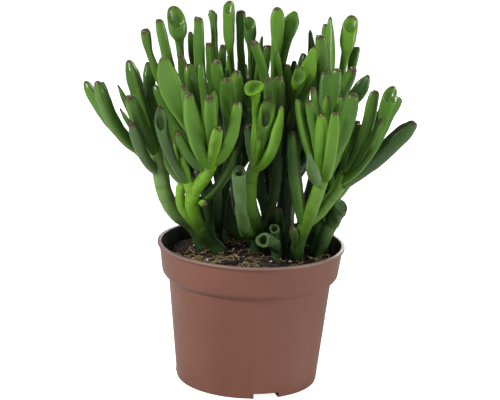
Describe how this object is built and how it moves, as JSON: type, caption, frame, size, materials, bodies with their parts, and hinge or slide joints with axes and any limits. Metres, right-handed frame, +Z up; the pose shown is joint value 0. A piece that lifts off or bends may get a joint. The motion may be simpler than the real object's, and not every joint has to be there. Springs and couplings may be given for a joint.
{
  "type": "potted trumpet jade succulent",
  "caption": "Bushy jade plant with finger-like tubular leaves ending in small trumpet mouths, on forking stems in a stepped terracotta-coloured plastic nursery pot.",
  "frame": {"origin": "middle of the pot's flat base, on the surface it stands on", "axes": "+Z up; -Y towards the front, where the plant is seen from"},
  "size_m": [0.2129, 0.1416, 0.242],
  "materials": {
    "pot": "satin",
    "soil": "matte",
    "plant": "satin"
  },
  "bodies": {
    "root": {"pot": "pot", "soil": "soil", "stem_left": "plant", "stem_left_front": "plant", "stem_centre_left": "plant", "stem_centre_front": "plant", "shoot_front": "plant", "stem_centre_right": "plant", "stem_right_front": "plant", "stem_right_back": "plant", "stem_back_left": "plant", "stem_back_middle": "plant", "stem_back_tall": "plant", "stem_back_right": "plant", "stem_rear_left": "plant", "stem_rear_middle": "plant", "stem_rear_right": "plant", "stem_rear_side": "plant"}
  },
  "joints": []
}
